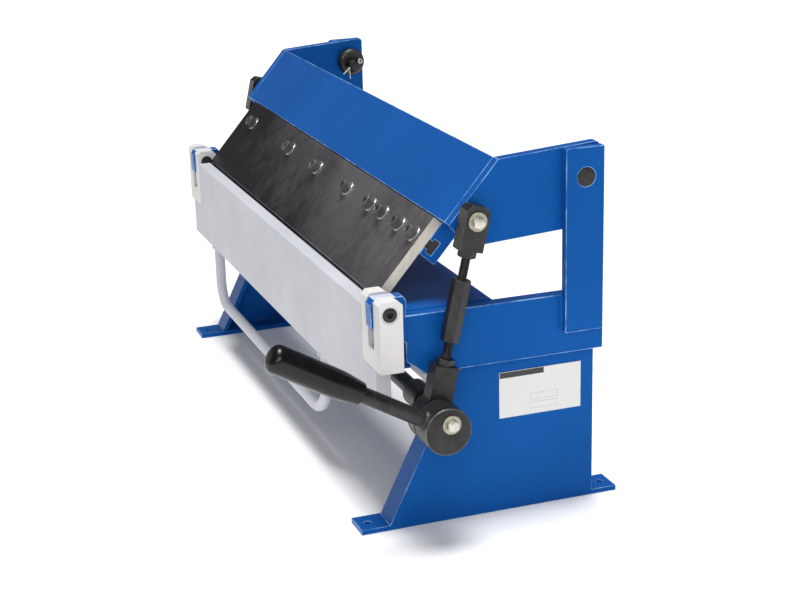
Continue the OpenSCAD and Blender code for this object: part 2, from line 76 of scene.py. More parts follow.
# Apron
BLOCK_IN, BLOCK_OUT = 310, 359
HINGE_SCREW_R = 6.8
BOW_LEFT, BOW_RIGHT, BOW_LOW, BOW_TOP, BOW_Y = -256, 172, 59, 128.8, -113.4
BOW_BENDS = (27, 46)            # radius of the left and of the right bend
BOW_R = 6

# Lever
SHAFT_R, JOURNAL_R, SHAFT_STEP = 8, 6, 343
CAM_R, HUB_R = 15.5, 22.5
HUB_IN = 362
HUB_OUT = {1: 390, -1: 376}     # right, left
LEVER_X, LEVER_R, LEVER_START = 378.5, 7.5, 12
GRIP_START, GRIP_BORE_END, LEVER_REACH = 90.5, 170, 185
GRIP_R, GRIP_FULL = 13.5, 121   # radius of the body, and where its taper ends
GRIP_DOME = (5.5, 8)            # flat and radius of the domed end

# Links
LINK_X = 352.5                  # middle of a link
LINK_IN, LINK_SEAT = 344, 361.3     # inner face, and the face that the washer sits on
LINK_BOLT_R = 5
UPPER_ROD, LOWER_ROD = (-75, -12.2), (-149.8, -96)
UPPER_NUT, LOWER_NUT = (-35, -28.4), (-137.2, -130.6)
SLEEVE = (-114.2, -55.3)

# Fasteners
WASHER_T = 1.6
M8_R, M8_HEAD_R, M8_HEAD_H, M8_WASHER_R = 4, 6.5, 8, 8
M6_R, M6_ACROSS, M6_HEAD_H, M6_WASHER_R = 3, 10, 4, 9
RUN_GAP = 0.05                  # radial clearance
WELD_GAP = 0.002


# ---------------------------------------------------------------- mesh tools

def place(origin, z_axis, x_axis=(1, 0, 0)):
    """Matrix from local millimetres to the row frame: z along z_axis, x near x_axis."""
    z = Vector(z_axis).normalized()
    x = Vector(x_axis)
    x = (x - z * x.dot(z)).normalized()
    y = z.cross(x)
    m = Matrix((x, y, z)).transposed().to_4x4()
    m.translation = Vector(origin)
    return Matrix.Scale(MM, 4) @ m


def along_x(x, point, side=1):
    """Matrix whose local z runs outwards along X from x, round a side-view point."""
    return place((side * x, point[0], point[1]), (side, 0, 0), (0, 0, 1))


def on_face():
    """Matrix of the finger face: x along the row, y up the slope, z out of the face."""
    out = (0, -math.sin(FACE_ANGLE), math.cos(FACE_ANGLE))
    return place((0, NOSE[0], NOSE[1]), out)


def on_link(side):
    """Matrix of a link: z up its length, from its upper pin."""
    return place((side * LINK_X, LINK_PIN[0], LINK_PIN[1]), LINK_UP)


def on_lever():
    """Matrix of the lever: z out along the bar, from the centre of the eccentrics."""
    out = (0, -math.cos(LEVER_ANGLE), math.sin(LEVER_ANGLE))
    return place((LEVER_X, CAM[0], CAM[1]), out)


def stack(bm, rings, matrix, segments=64, close=False):
    """Skins rings of (z, radius), or functions of the angle that return them.

    A ring of radius 0 is a single point. close joins the last ring to the first.
    """
    rows = []
    for ring in rings:
        row = []
        single = not callable(ring) and ring[1] == 0
        for k in range(1 if single else segments):
            t = 2 * math.pi * k / segments
            z, r = ring(t) if callable(ring) else ring
            row.append(bm.verts.new(matrix @ Vector((r * math.cos(t), r * math.sin(t), z))))
        rows.append(row)
    if close:
        rows.append(rows[0])
    for a, b in zip(rows, rows[1:]):
        for k in range(segments):
            n = (k + 1) % segments
            if len(a) == 1 and len(b) == 1:
                continue
            if len(a) == 1:
                bm.faces.new((a[0], b[k], b[n]))
            elif len(b) == 1:
                bm.faces.new((a[k], b[0], a[n]))
            else:
                bm.faces.new((a[k], b[k], b[n], a[n]))


def round_bar(z0, z1, radius, edge=0.5):
    """Profile of a solid bar with rounded edges."""
    steps = [(edge * (1 - math.cos(a)), edge * (1 - math.sin(a)))
             for a in (0, math.pi / 6, math.pi / 3, math.pi / 2)]
    start = [(z0 + e, radius - d) for d, e in steps[::-1]]
    end = [(z1 - e, radius - d) for d, e in steps]
    return [(z0, 0)] + start + end + [(z1, 0)]


def washer_profile(z0, z1, inner, outer, edge=0.25):
    """Profile of a ring with chamfered outer edges; stack() closes it."""
    return [(z0, inner), (z0, outer - edge), (z0 + edge, outer), (z1 - edge, outer),
            (z1, outer - edge), (z1, inner)]


def hexagon(across):
    """Radius of a hexagon at an angle, with a corner at angle 0."""
    def radius(t):
        return across / 2 / math.cos((t % (math.pi / 3)) - math.pi / 6)
    return radius


def hex_rings(z0, z1, across):
    """Rings of a hexagon bar whose ends carry the usual conical chamfer."""
    at = hexagon(across)
    flat = across / 2 * 0.97
    slope = math.tan(math.radians(30))
    return [(z0, 0), lambda t: (z0, min(at(t), flat)),
            lambda t: (z0 + (at(t) - flat) * slope, at(t)),
            lambda t: (z1 - (at(t) - flat) * slope, at(t)),
            lambda t: (z1, min(at(t), flat)), (z1, 0)]


def thread_rings(z0, z1, radius, depth, pitch):
    """Rings of a screw thread, six to a pitch: the radius follows a helix."""
    count = max(8, int((z1 - z0) / pitch * 6))
    rings = [(z0, 0)]
    for k in range(count + 1):
        z = z0 + (z1 - z0) * k / count

        def ring(t, z=z):
            turn = (z / pitch - t / (2 * math.pi)) % 1
            return z, radius - depth * min(1, abs(2 * turn - 1) * 1.25)
        rings.append(ring)
    return rings + [(z1, 0)]


def tube(bm, points, radius, segments=16):
    """Skins a tube along points in millimetres; radius is a number or a function of length."""
    pts = [Vector(p) for p in points]
    side = None
    rows = []
    length = 0
    for i, p in enumerate(pts):
        ahead = (pts[min(i + 1, len(pts) - 1)] - pts[max(i - 1, 0)]).normalized()
        if side is None:
            side = ahead.orthogonal().normalized()
        side = (side - ahead * side.dot(ahead)).normalized()
        other = ahead.cross(side)
        if i:
            length += (p - pts[i - 1]).length
        r = radius(length) if callable(radius) else radius
        row = []
        for k in range(segments):
            t = 2 * math.pi * k / segments
            row.append(bm.verts.new((p + r * (side * math.cos(t) + other * math.sin(t))) * MM))
        rows.append(row)
    for a, b in zip(rows, rows[1:]):
        for k in range(segments):
            n = (k + 1) % segments
            bm.faces.new((a[k], a[n], b[n], b[k]))
    bm.faces.new(rows[0][::-1])
    bm.faces.new(rows[-1])


def bead(bm, start, end, radius, pitch=3.2):
    """A weld bead: overlapping ripples, a little uneven, tapered at both ends."""
    a, b = Vector(start), Vector(end)
    total = (b - a).length
    count = max(6, int(total / 0.8))
    phase = random.uniform(0, pitch)
    swell = [random.uniform(0.86, 1.1) for _ in range(int(total / pitch) + 3)]

    def width(s):
        step = (s + phase) / pitch
        ripple = 0.84 + 0.16 * math.sqrt(1 - (2 * (step % 1) - 1) ** 2 * 0.96)
        end_taper = min(1, (min(s, total - s) + 0.6) / (1.5 * radius)) ** 0.5
        return radius * ripple * swell[int(step)] * max(0.25, end_taper)
    tube(bm, [a + (b - a) * i / count for i in range(count + 1)], width, 12)


def finish_mesh(name, bm, material, smooth=40):
    """Makes an object of a bmesh, smooth except at edges sharper than smooth degrees."""
    bmesh.ops.recalc_face_normals(bm, faces=bm.faces)
    mesh = bpy.data.meshes.new(name)
    bm.to_mesh(mesh)
    bm.free()
    mesh.shade_smooth()
    mesh.set_sharp_from_angle(angle=math.radians(smooth))
    obj = bpy.data.objects.new(name, mesh)
    bpy.context.scene.collection.objects.link(obj)
    obj.data.materials.append(material)
    return obj


def settle(obj, body, slot, *nodes):
    """Lets a piece ride on a body and stand for nodes; slot is not used."""
    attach(obj, body)
    if nodes:
        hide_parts(*nodes)
    return obj


def edge_faces(bm, made):
    """Marks the faces that a bevel made, so that a material can wear them."""
    layer = bm.faces.layers.float.get("wear") or bm.faces.layers.float.new("wear")
    for face in made:
        if face.is_valid:
            face[layer] = 1.0


def refined(node, body, slot, material, width, segments=3, angle=32):
    """A node rebuilt with clean flat faces and edges rounded by width, in millimetres."""
    bm = bmesh.new()
    bm.from_mesh(NODES[node].data)
    bmesh.ops.remove_doubles(bm, verts=bm.verts, dist=3e-6)
    bmesh.ops.dissolve_limit(bm, angle_limit=math.radians(0.6), verts=bm.verts, edges=bm.edges)
    bm.faces.layers.float.new("wear")
    sharp = [e for e in bm.edges if e.is_manifold and e.calc_face_angle(0) > math.radians(angle)]
    made = bmesh.ops.bevel(bm, geom=sharp, offset=width * MM, offset_type="OFFSET",
                           segments=segments, profile=0.5, affect="EDGES",
                           clamp_overlap=True, material=-1)
    edge_faces(bm, made["faces"])
    obj = finish_mesh(node + "_body", bm, material, 55)
    normals = obj.modifiers.new("Normals", "WEIGHTED_NORMAL")
    normals.keep_sharp = True
    return settle(obj, body, slot, node)


# ---------------------------------------------------------------- materials

def srgb(r, g, b):
    """A linear colour from display values of 0 to 255."""
    def one(v):
        v /= 255
        return v / 12.92 if v <= 0.04045 else ((v + 0.055) / 1.055) ** 2.4
    return (one(r), one(g), one(b), 1)


class Shader:
    """Wires the nodes of one Principled material."""

    def __init__(self, name):
        self.mat = bpy.data.materials.new(name)
        self.mat.use_nodes = True
        self.tree = self.mat.node_tree
        self.tree.nodes.clear()
        self.bsdf = self.node("ShaderNodeBsdfPrincipled")
        out = self.node("ShaderNodeOutputMaterial")
        self.tree.links.new(self.bsdf.outputs[0], out.inputs[0])
        self.coords = self.node("ShaderNodeTexCoord").outputs["Object"]

    def node(self, kind, **settings):
        n = self.tree.nodes.new(kind)
        for key, value in settings.items():
            setattr(n, key, value)
        return n

    def plug(self, socket, value):
        if isinstance(value, bpy.types.NodeSocket):
            self.tree.links.new(value, socket)
        else:
            socket.default_value = value

    def set(self, **inputs):
        for key, value in inputs.items():
            self.plug(self.bsdf.inputs[key.replace("_", " ")], value)

    def turned(self, rotation=(0, 0, 0), scale=(1, 1, 1), vector=None):
        n = self.node("ShaderNodeMapping")
        self.plug(n.inputs["Vector"], vector or self.coords)
        n.inputs["Rotation"].default_value = rotation
        n.inputs["Scale"].default_value = scale
        return n.outputs[0]

    def noise(self, scale, detail=3, roughness=0.5, vector=None, distortion=0):
        n = self.node("ShaderNodeTexNoise")
        self.plug(n.inputs["Vector"], vector or self.coords)
        n.inputs["Scale"].default_value = scale
        n.inputs["Detail"].default_value = detail
        n.inputs["Roughness"].default_value = roughness
        n.inputs["Distortion"].default_value = distortion
        return n.outputs["Fac"]

    def spots(self, scale, vector=None):
        n = self.node("ShaderNodeTexVoronoi")
        self.plug(n.inputs["Vector"], vector or self.coords)
        n.inputs["Scale"].default_value = scale
        return n.outputs["Distance"]

    def remap(self, value, low, high, to_low=0, to_high=1):
        n = self.node("ShaderNodeMapRange")
        self.plug(n.inputs["Value"], value)
        n.inputs["From Min"].default_value = low
        n.inputs["From Max"].default_value = high
        n.inputs["To Min"].default_value = to_low
        n.inputs["To Max"].default_value = to_high
        return n.outputs[0]

    def math(self, operation, a, b=0.0):
        n = self.node("ShaderNodeMath", operation=operation)
        self.plug(n.inputs[0], a)
        self.plug(n.inputs[1], b)
        return n.outputs[0]

    def mix(self, factor, a, b):
        n = self.node("ShaderNodeMix", data_type="RGBA")
        self.plug(n.inputs["Factor"], factor)
        self.plug(n.inputs[6], a)
        self.plug(n.inputs[7], b)
        return n.outputs[2]

    def wear(self):
        return self.node("ShaderNodeAttribute", attribute_name="wear").outputs["Fac"]

    def axis(self, index):
        n = self.node("ShaderNodeSeparateXYZ")
        self.plug(n.inputs[0], self.coords)
        return n.outputs[index]

    def bump(self, height, strength, distance, normal=None):
        n = self.node("ShaderNodeBump")
        self.plug(n.inputs["Height"], height)
        n.inputs["Strength"].default_value = strength
        n.inputs["Distance"].default_value = distance
        if normal:
            self.plug(n.inputs["Normal"], normal)
        return n.outputs[0]


def blue_enamel():
    """Blue paint, chipped along edges, which a painted highlight also lightens, with a painted
    highlight of glare on top of the ears, between the cheeks.
    """
    s = Shader("blue_enamel")
    cloud = s.remap(s.noise(6, 3, 0.5), 0.35, 0.68)
    colour = s.mix(cloud, srgb(12, 77, 149), srgb(16, 84, 160))
    dust = s.remap(s.noise(650, 2, 0.7), 0.68, 0.76, 0, 0.3)
    colour = s.mix(dust, colour, srgb(90, 140, 196))
    # Edges turn pale blue: partly chipped paint, partly a painted highlight along them.
    edge_wear_and_highlight = s.math("MULTIPLY", s.wear(), s.remap(s.noise(55, 4, 0.65), 0.38, 0.62, 0.12, 0.85))
    colour = s.mix(edge_wear_and_highlight, colour, srgb(150, 184, 226))
    hinge_y, hinge_z = HINGE
    # Painted highlight: the tops of the ears, between the cheeks, are painted pale lavender for the
    # glare on the glossy paint.
    ear_top_glare = s.math("GREATER_THAN", s.axis(2), (hinge_z + 10.6) * MM)
    ear_top_glare = s.math("MULTIPLY", ear_top_glare, s.math("LESS_THAN", s.axis(1), (hinge_y + 11.5) * MM))
    ear_top_glare = s.math("MULTIPLY", ear_top_glare, s.math("LESS_THAN", s.axis(2), (hinge_z + 11.5) * MM))
    colour = s.mix(s.math("MULTIPLY", ear_top_glare, 0.8), colour, srgb(212, 214, 230))
    normal = s.bump(s.noise(30, 2, 0.4), 0.12, 0.001, s.bump(s.noise(520, 2, 0.4), 0.15, 0.0003))
    rough = s.remap(s.noise(9, 3, 0.5), 0.3, 0.7, 0.28, 0.4)
    s.set(Base_Color=colour, Roughness=rough, Normal=normal, Specular_Tint=srgb(80, 152, 240))
    s.bsdf.inputs["Specular IOR Level"].default_value = 0.38
    return s.mat


def pale_enamel(name, dark, light):
    """Light grey paint with faint dirt, scuffed along edges."""
    s = Shader(name)
    cloud = s.remap(s.noise(8, 3, 0.5), 0.35, 0.68)
    colour = s.mix(cloud, srgb(*dark), srgb(*light))
    dirt = s.remap(s.noise(260, 4, 0.75), 0.66, 0.78, 0, 0.22)
    colour = s.mix(dirt, colour, srgb(186, 186, 188))
    scuff = s.math("MULTIPLY", s.wear(), s.remap(s.noise(120, 4, 0.6), 0.55, 0.68, 0, 0.35))
    colour = s.mix(scuff, colour, srgb(150, 152, 160))
    normal = s.bump(s.noise(60, 3, 0.5), 0.2, 0.001, s.bump(s.noise(760, 2, 0.5), 0.3, 0.0003))
    rough = s.remap(s.noise(30, 4, 0.6), 0.3, 0.7, 0.34, 0.5)
    s.set(Base_Color=colour, Roughness=rough, Normal=normal)
    s.bsdf.inputs["Specular IOR Level"].default_value = 0.2
    return s.mat


def ground_steel():
    """Dark ground steel: fine streaks up the slope, cloudy swirls and paler patches, with a painted
    sheen that lightens it towards the right and the top.
    """
    s = Shader("ground_steel")
    slope = s.turned(rotation=(-FACE_ANGLE, 0, 0))
    streak = s.noise(1, 4, 0.6, s.turned(scale=(900, 30, 900), vector=slope))
    swirl = s.noise(1, 4, 0.6, s.turned(scale=(48, 36, 48), vector=slope), 1.2)
    broad = s.noise(7, 2, 0.45, slope)
    tone = s.math("ADD", s.math("MULTIPLY", streak, 0.12), s.math("MULTIPLY", swirl, 0.3))
    tone = s.math("ADD", tone, s.math("MULTIPLY", broad, 0.58))
    # Painted sheen: the steel is painted lighter towards the right and towards the top, for the
    # light it reflects there.
    right = s.remap(s.axis(0), -0.32, 0.31, -0.22, 0.2)
    high = s.remap(s.axis(2), 0.225, 0.3, -0.07, 0.07)
    tone = s.math("ADD", s.math("ADD", tone, right), high)
    colour = s.mix(s.remap(tone, 0.34, 0.7), srgb(52, 51, 57), srgb(146, 142, 145))
    edge = s.math("MULTIPLY", s.wear(), s.remap(s.noise(60, 3, 0.6), 0.42, 0.66, 0, 0.3))
    colour = s.mix(edge, colour, srgb(160, 157, 154))
    normal = s.bump(streak, 0.1, 0.0003, s.bump(swirl, 0.05, 0.0004))
    rough = s.remap(broad, 0.3, 0.7, 0.46, 0.38)
    s.set(Base_Color=colour, Metallic=0.82, Roughness=rough, Normal=normal)
    return s.mat


def sawn_steel():
    """The pale cut ends of the finger row."""
    s = Shader("sawn_steel")
    lines = s.noise(1, 3, 0.6, s.turned(rotation=(-FACE_ANGLE, 0, 0), scale=(700, 500, 60)))
    stain = s.remap(s.noise(95, 4, 0.7), 0.58, 0.75, 0, 0.6)
    colour = s.mix(lines, srgb(190, 184, 172), srgb(226, 220, 208))
    colour = s.mix(stain, colour, srgb(150, 132, 108))
    s.set(Base_Color=colour, Metallic=0.55, Roughness=0.42, Normal=s.bump(lines, 0.3, 0.0002))
    return s.mat


def black_oxide(name, dark, light):
    """Blackened steel with a fine grain, worn bright along edges, partly as a painted highlight."""
    s = Shader(name)
    grain = s.noise(900, 3, 0.7)
    cloud = s.noise(60, 4, 0.6)
    colour = s.mix(s.remap(cloud, 0.35, 0.7), srgb(*dark), srgb(*light))
    colour = s.mix(s.remap(grain, 0.58, 0.76, 0, 0.6), colour, srgb(108, 105, 100))
    # Edges turn pale steel grey: partly wear, partly a painted highlight along them.
    edge_wear_and_highlight = s.math("MULTIPLY", s.wear(), s.remap(s.noise(150, 4, 0.65), 0.38, 0.62, 0.05, 0.6))
    colour = s.mix(edge_wear_and_highlight, colour, srgb(140, 138, 133))
    metal = s.remap(edge_wear_and_highlight, 0, 1, 0.35, 0.9)
    normal = s.bump(grain, 0.35, 0.0003)
    rough = s.remap(cloud, 0.3, 0.7, 0.3, 0.5)
    s.set(Base_Color=colour, Metallic=metal, Roughness=rough, Normal=normal)
    return s.mat


def zinc_plate(name, dark, light):
    """Bright plating with turning marks round the X axis."""
    s = Shader(name)
    cloud = s.noise(240, 4, 0.6)
    colour = s.mix(s.remap(cloud, 0.3, 0.7), srgb(*dark), srgb(*light))
    turned = s.noise(1, 2, 0.5, s.turned(scale=(1800, 300, 300)))
    s.set(Base_Color=colour, Metallic=0.9, Roughness=s.remap(cloud, 0.3, 0.7, 0.25, 0.42),
          Normal=s.bump(turned, 0.2, 0.0002))
    return s.mat


def grip_moulding():
    """Glossy black plastic, slightly wavy."""
    s = Shader("grip_moulding")
    cloud = s.noise(90, 3, 0.6)
    colour = s.mix(cloud, srgb(9, 9, 10), srgb(17, 17, 18))
    normal = s.bump(s.noise(140, 2, 0.4), 0.1, 0.0006)
    s.set(Base_Color=colour, Roughness=s.remap(cloud, 0.3, 0.7, 0.2, 0.3), Normal=normal)
    s.bsdf.inputs["Specular IOR Level"].default_value = 0.32
    return s.mat


def sintered_bronze():
    """Porous bearing bronze."""
    s = Shader("sintered_bronze")
    pores = s.spots(1500)
    colour = s.mix(s.remap(pores, 0.1, 0.5), srgb(120, 92, 52), srgb(186, 148, 92))
    s.set(Base_Color=colour, Metallic=0.9, Roughness=0.48, Normal=s.bump(pores, 0.3, 0.0002))
    return s.mat


def label_print():
    """A blank printed plate: a dark header bar and two empty fields."""
    s = Shader("label_print")
    y, z = s.axis(1), s.axis(2)

    def inside(value, low, high):
        above = s.math("GREATER_THAN", value, low)
        return s.math("MULTIPLY", above, s.math("LESS_THAN", value, high))

    def box(y0, y1, z0, z1):
        return s.math("MULTIPLY", inside(y, y0 * MM, y1 * MM), inside(z, z0 * MM, z1 * MM))

    def field(y0, y1, z0, z1, line=0.35):
        inner = box(y0 + line, y1 - line, z0 + line, z1 - line)
        return s.math("SUBTRACT", box(y0, y1, z0, z1), inner)
    speckle = s.noise(800, 2, 0.6)
    colour = s.mix(s.remap(speckle, 0.3, 0.7), srgb(219, 219, 216), srgb(227, 227, 225))
    colour = s.mix(box(*LABEL_BAR), colour, srgb(30, 31, 34))
    for row in LABEL_FIELDS:
        colour = s.mix(s.math("MULTIPLY", field(*row), 0.6), colour, srgb(120, 122, 126))
    s.set(Base_Color=colour, Roughness=0.38, Normal=s.bump(speckle, 0.1, 0.0001), Coat_Weight=0.2)
    return s.mat


def floor_paint():
    """Matt studio floor, nearly white."""
    s = Shader("floor_paint")
    tone = s.remap(s.noise(3, 4, 0.5), 0.3, 0.7)
    colour = s.mix(tone, (0.93, 0.93, 0.93, 1), (0.95, 0.95, 0.95, 1))
    s.set(Base_Color=colour, Roughness=0.9, Emission_Color=(1, 1, 1, 1), Emission_Strength=0.04)
    s.bsdf.inputs["Specular IOR Level"].default_value = 0.1
    return s.mat


BLUE = blue_enamel()
# Two copies of one pale paint: the darker one, on the apron, tie bar and bow handle, is painted
# shade for faces turned away from the light; the lighter one, on the hinge blocks, is painted light
# for sides that face it.
PALE_SHADED = pale_enamel("pale_enamel", (186, 188, 195), (196, 197, 203))
PALE_LIT = pale_enamel("pale_enamel_lit", (212, 211, 210), (220, 219, 217))
GROUND = ground_steel()
SAWN = sawn_steel()
BLACK = black_oxide("black_oxide", (23, 23, 24), (50, 49, 48))
SCREW = black_oxide("screw_oxide", (74, 74, 73), (104, 103, 101))
ZINC = zinc_plate("zinc_plate", (176, 174, 164), (218, 216, 208))
WASHER = zinc_plate("washer_zinc", (132, 129, 114), (178, 175, 158))
GRIP = grip_moulding()
BRONZE = sintered_bronze()
LABEL = label_print()


# ---------------------------------------------------------------- frame

def foot_panels():
    for side in ("left", "right"):
        refined(side + "_foot_panel", "frame", "frame_blue", BLUE, 1.1)


def side_plates():
    for side in ("left", "right"):
        refined(side + "_side_plate", "frame", "frame_blue", BLUE, 0.9)


def posts():
    for side in ("left", "right"):
        refined(side + "_post", "frame", "frame_blue", BLUE, 0.9)


def bed():
    refined("bed_plate", "frame", "frame_blue", BLUE, 0.9)
    refined("bed_rib", "frame", "frame_blue", BLUE, 0.9)
    refined("bed_blade", "frame", "finger_steel", GROUND, 0.3)
    refined("bed_blade_screws", "frame", "black_steel", BLACK, 0.15, 1)
    refined("front_tie_bar", "frame", "apron_pale", PALE_SHADED, 0.9)


def bearings():
    for side in ("left", "right"):
        # Painted shade: the shaft bearings are drawn in the black oxide rather than the frame's
        # blue, for the deep shade they sit in.
        refined(side + "_shaft_bearing", "frame", "black_steel", BLACK, 0.7)
    refined("hinge_bushes", "frame", "bronze", BRONZE, 0.2, 1)


def pivot_pins():
    bm = bmesh.new()
    for side in (1, -1):
        m = along_x(0, PIVOT, side)
        stack(bm, round_bar(PIN_STEP, POST_OUT, PIN_R, 0.8), m, 64)
        stack(bm, round_bar(PIN_END, PIN_STEP + 1, PIN_TAIL_R, 0.8), m, 56)
    settle(finish_mesh("pivot_pins_body", bm, BLACK), "frame", "black_steel", "pivot_pins")


def pivot_collars():
    refined("pivot_collars", "frame", "black_steel", BLACK, 0.5)


def split_pins():
    refined("split_pins", "frame", "bright_steel", ZINC, 0.1, 1, 50)


def rating_plate():
    refined("rating_plate", "frame", "label", LABEL, 0.25, 2)


def frame_welds():
    """Beads round the posts, under the side plates and inside the bed's corners."""
    bm = bmesh.new()
    for s in (1, -1):
        x = s * SIDE_OUT
        for y in POST_Y:
            bead(bm, (x, y, 181), (x, y, 215), 2.6)
        for z in (POST_LOW, BED_TOP):
            bead(bm, (x, 67, z), (x, 104, z), 2.6)
        x = s * FRAME_HALF
        bead(bm, (x, -66, SIDE_LOW), (x, 105, SIDE_LOW), 3.2)
        bead(bm, (x, -60, PANEL_TOP), (x, -58, PANEL_TOP), 2)
        bead(bm, (x, -86, BED_TOP), (x, 0, BED_TOP), 1.4)
    settle(finish_mesh("frame_welds", bm, BLUE, 60), "frame", "frame_blue")


# ---------------------------------------------------------------- clamping beam

def beam_plates():
    refined("beam_front_plate", "clamp_beam", "frame_blue", BLUE, 0.7)
    refined("left_arm", "clamp_beam", "frame_blue", BLUE, 0.9)
    refined("right_arm", "clamp_beam", "frame_blue", BLUE, 0.9)
    refined("finger_rail", "clamp_beam", "frame_blue", BLUE, 0.5)


def fingers():
    """The seven fingers; the two outer ends of the row are bare sawn steel."""
    for i in range(1, 8):
        obj = refined("finger_%d" % i, "clamp_beam", "finger_steel", GROUND, 0.18, 2)
        obj.data.materials.append(SAWN)
        for face in obj.data.polygons:
            if abs(face.normal.x) > 0.9 and abs(abs(face.center.x) - ROW_LEN / 2 * MM) < 0.0006:
                face.material_index = 1


def screw_places():
    """X of each finger screw, from the standard finger widths."""
    unit = ROW_LEN / sum(FINGER_UNITS)
    x = -ROW_LEN / 2
    places = []
    for width, offsets in zip(FINGER_UNITS, SCREW_OFFSETS):
        places += [x + width * unit / 2 + o for o in offsets]
        x += width * unit
    return places


def socket_head(bm, matrix, z0, height, radius, socket, depth, knurls=40):
    """A cap screw's head: knurled wall, rounded top edge and a hexagon socket, across its flats."""
    at = hexagon(socket)
    top = z0 + height

    def wall(z):
        return lambda t: (z, radius - 0.16 * abs(math.sin(knurls * t / 2)))
    rings = [(z0, 0), (z0, radius - 0.4), wall(z0 + 0.4), wall(top - 1.0),
             (top - 0.55, radius - 0.12), (top - 0.2, radius - 0.4), (top, radius - 0.8),
             lambda t: (top, at(t) + 0.35), lambda t: (top - 0.35, at(t)),
             lambda t: (top - depth, at(t)), (top - depth - 0.8, 0)]
    stack(bm, rings, matrix, 120)


def finger_screws():
    heads, washers = bmesh.new(), bmesh.new()
    for x in screw_places():
        m = on_face() @ Matrix.Translation((x, SCREW_UP, 0))
        turn = Matrix.Rotation(random.uniform(0, math.pi / 3), 4, "Z")
        socket_head(heads, m @ turn, WASHER_T, M8_HEAD_H, M8_HEAD_R, socket=6, depth=4.5)
        stack(heads, round_bar(-20, WASHER_T + 0.2, M8_R, 0.5), m, 32)
        stack(washers, washer_profile(0, WASHER_T, M8_R + 0.3, M8_WASHER_R, 0.35), m, 56, True)
    settle(finish_mesh("finger_screws_body", heads, SCREW), "clamp_beam", "black_steel",
           "finger_screws")
    settle(finish_mesh("finger_washers_body", washers, ZINC), "clamp_beam", "bright_steel",
           "finger_washers")


def t_nuts():
    refined("t_nuts", "clamp_beam", "black_steel", BLACK, 0.3, 2)


def hex_bolt(bm, matrix, z0, height, across, flange=0.5):
    """Hexagon head with a washer face below and a chamfered top."""
    face = across / 2 * 0.95
    head = hex_rings(z0 + flange, z0 + height, across)[1:]
    stack(bm, [(z0, 0), (z0, face), (z0 + flange, face)] + head, matrix, 72)


def link_bolts():
    bolts, washers, spacers = bmesh.new(), bmesh.new(), bmesh.new()
    for side in (1, -1):
        m = along_x(0, LINK_PIN, side)
        head = LINK_SEAT + WASHER_T
        stack(bolts, round_bar(331, LINK_SEAT - WELD_GAP, LINK_BOLT_R, 0.4), m, 40)
        stack(bolts, round_bar(360, 364, M6_R, 0.3), m, 32)
        hex_bolt(bolts, m @ Matrix.Rotation(0.1, 4, "Z"), head, M6_HEAD_H, M6_ACROSS)
        stack(washers, washer_profile(LINK_SEAT, head, M6_R + RUN_GAP, M6_WASHER_R, 0.3),
              m, 56, True)
        stack(spacers, washer_profile(ARM_OUT, LINK_IN - 0.3, LINK_BOLT_R + RUN_GAP, 9, 0.4),
              m, 56, True)
    settle(finish_mesh("link_bolts_body", bolts, ZINC), "clamp_beam", "bright_steel", "link_bolts")
    settle(finish_mesh("link_bolt_washers_body", washers, WASHER), "clamp_beam", "bright_steel",
           "link_bolt_washers")
    settle(finish_mesh("link_spacers_body", spacers, BLACK), "clamp_beam", "black_steel",
           "link_spacers")


def beam_welds():
    """Beads behind the front plate: at the arms, and stitches along the finger rail."""
    bm = bmesh.new()
    face = on_face()

    def at(x, y, z):
        return (face @ Vector((x, y, z))) / MM
    for s in (1, -1):
        bead(bm, at(s * ARM_IN, 98, -10), at(s * ARM_IN, 166, -10), 2.6)
    for k in range(-3, 4):
        bead(bm, at(k * 92 - 18, 114, -10), at(k * 92 + 18, 114, -10), 2.4)
    settle(finish_mesh("beam_welds", bm, BLUE, 60), "clamp_beam", "frame_blue")


# ---------------------------------------------------------------- apron

def apron_plate():
    refined("apron_plate", "apron", "apron_pale", PALE_SHADED, 0.8)


def hinge_blocks():
    for side in ("left", "right"):
        refined(side + "_hinge_block", "apron", "apron_pale", PALE_LIT, 0.7)


def hinge_screws():
    """Plain screws through both cheeks, set back a little at each end."""
    bm = bmesh.new()
    recess = 0.6
    for side in (1, -1):
        socket_head(bm, along_x(0, HINGE, side), BLOCK_IN + recess,
                    BLOCK_OUT - BLOCK_IN - 2 * recess, HINGE_SCREW_R, socket=5, depth=4.2, knurls=0)
    settle(finish_mesh("hinge_screws_body", bm, BLACK), "apron", "black_steel", "hinge_screws")


def bow_handle():
    """One bent tube with two legs, and a weld round the top of each leg."""
    y, low, top, (tight, wide) = BOW_Y, BOW_LOW, BOW_TOP, BOW_BENDS
    turn = [math.radians(90 * k / 16) for k in range(17)]
    points = [(BOW_LEFT, y, top + (low + tight - top) * k / 8) for k in range(8)]
    points += [(BOW_LEFT + tight - tight * math.cos(a), y, low + tight - tight * math.sin(a))
               for a in turn]
    run = BOW_RIGHT - BOW_LEFT - tight - wide
    points += [(BOW_LEFT + tight + run * k / 20, y, low) for k in range(1, 20)]
    points += [(BOW_RIGHT - wide + wide * math.sin(a), y, low + wide - wide * math.cos(a))
               for a in turn]
    points += [(BOW_RIGHT, y, low + wide + (top - low - wide) * k / 5) for k in range(1, 6)]
    bm = bmesh.new()
    tube(bm, points, BOW_R, 32)
    settle(finish_mesh("bow_handle_body", bm, PALE_SHADED), "apron", "apron_pale", "bow_handle")
    weld = bmesh.new()
    for x in (BOW_LEFT, BOW_RIGHT):
        m = place((x, y, top), (0, 0, 1))

        def ring(z, r):
            return lambda t: (z, r + 0.35 * abs(math.sin(5.5 * t + r)))
        stack(weld, [(-3.4, 5.6), ring(-3.2, 6.2), ring(-1.9, 7.3), ring(-0.2, 9), (0, 8.6),
                     (0, 5.6)], m, 60, True)
    settle(finish_mesh("bow_welds", weld, PALE_SHADED, 60), "apron", "apron_pale")


# ---------------------------------------------------------------- lever

